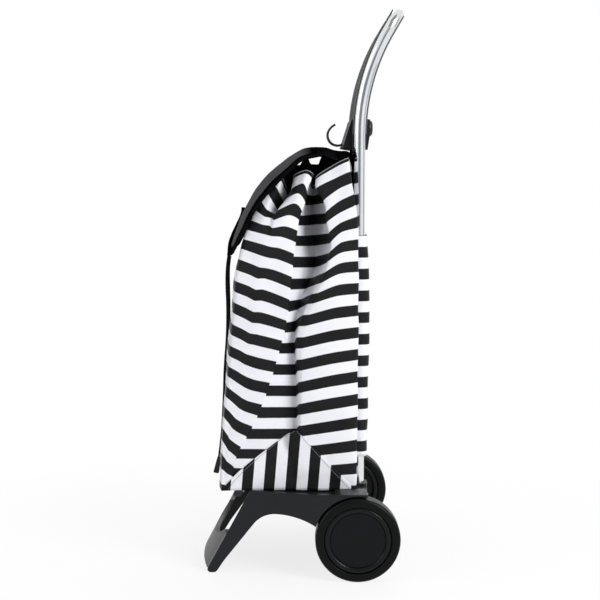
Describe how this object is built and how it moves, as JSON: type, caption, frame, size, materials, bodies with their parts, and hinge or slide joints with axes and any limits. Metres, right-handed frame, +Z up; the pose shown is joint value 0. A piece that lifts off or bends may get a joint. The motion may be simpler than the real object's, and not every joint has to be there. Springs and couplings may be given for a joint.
{
  "type": "two-wheeled shopping trolley",
  "caption": "Upright shopping trolley with a striped cloth bag, hinged cloth lid, chromed tube frame with leaning handle, folding hook, plastic base with front foot and side wheels.",
  "frame": {"origin": "on the floor, under the middle of the trolley's box", "axes": "+Z up, -Y to the front where the foot stands, +X to the left of someone who pulls it"},
  "size_m": [0.4, 0.3674, 1.0103],
  "materials": {
    "chrome_tube": "bright chrome plate",
    "black_plastic": "fine satin moulding",
    "base_plastic": "satin moulding with a fine grain",
    "wheel_plastic": "smooth satin moulding",
    "tyre_rubber": "matt rubber",
    "pad_rubber": "matt rubber",
    "steel": "zinc plated",
    "striped_cloth": "woven polyester in black and white stripes",
    "black_cloth": "woven polyester",
    "webbing": "ribbed woven webbing",
    "board": "plain sheet"
  },
  "bodies": {
    "frame": {"frame_tube": "chrome_tube", "handle_liner": "black_plastic", "bridge_front": "black_plastic", "bridge_back": "black_plastic", "bridge_knob": "black_plastic", "bridge_screws": "steel", "hook_pin": "steel", "base": "base_plastic", "foot_pads": "pad_rubber", "socket_screws": "steel", "axle": "steel", "axle_washers": "steel", "axle_push_nuts": "steel", "bag_body": "striped_cloth", "back_sleeve": "striped_cloth", "bag_collar": "black_cloth", "lid_root": "black_cloth", "bag_base_board": "board", "bag_hanger": "webbing"},
    "wheel_left": {"tyre_left": "tyre_rubber", "wheel_core_left": "wheel_plastic", "hub_cap_left": "wheel_plastic"},
    "wheel_right": {"tyre_right": "tyre_rubber", "wheel_core_right": "wheel_plastic", "hub_cap_right": "wheel_plastic"},
    "hook": {"hook": "black_plastic"},
    "lid": {"lid": "black_cloth", "strap_anchor": "webbing"},
    "strap": {"lid_strap": "webbing", "strap_pull": "black_plastic"}
  },
  "joints": [
    {"name": "wheel_left_spin", "type": "hinge", "parent": "frame", "child": "wheel_left", "pos_m": [0.181, 0.09815, 0.075], "axis": [1, 0, 0], "continuous": true},
    {"name": "wheel_right_spin", "type": "hinge", "parent": "frame", "child": "wheel_right", "pos_m": [-0.181, 0.09815, 0.075], "axis": [1, 0, 0], "continuous": true},
    {"name": "hook_fold", "type": "hinge", "parent": "frame", "child": "hook", "pos_m": [0, 0.09215, 0.781], "axis": [-1, 0, 0], "range_deg": [0, 60]},
    {"name": "lid_open", "type": "hinge", "parent": "frame", "child": "lid", "pos_m": [0, 0.02615, 0.7603], "axis": [-1, 0, 0], "range_deg": [0, 100]},
    {"name": "strap_swing", "type": "hinge", "parent": "lid", "child": "strap", "pos_m": [0, -0.13377, 0.56206], "axis": [-1, 0, 0], "range_deg": [-100, 0]}
  ],
  "couplings": [
    {"joint": "strap_swing", "follows": "lid_open", "ratio": -1}
  ]
}
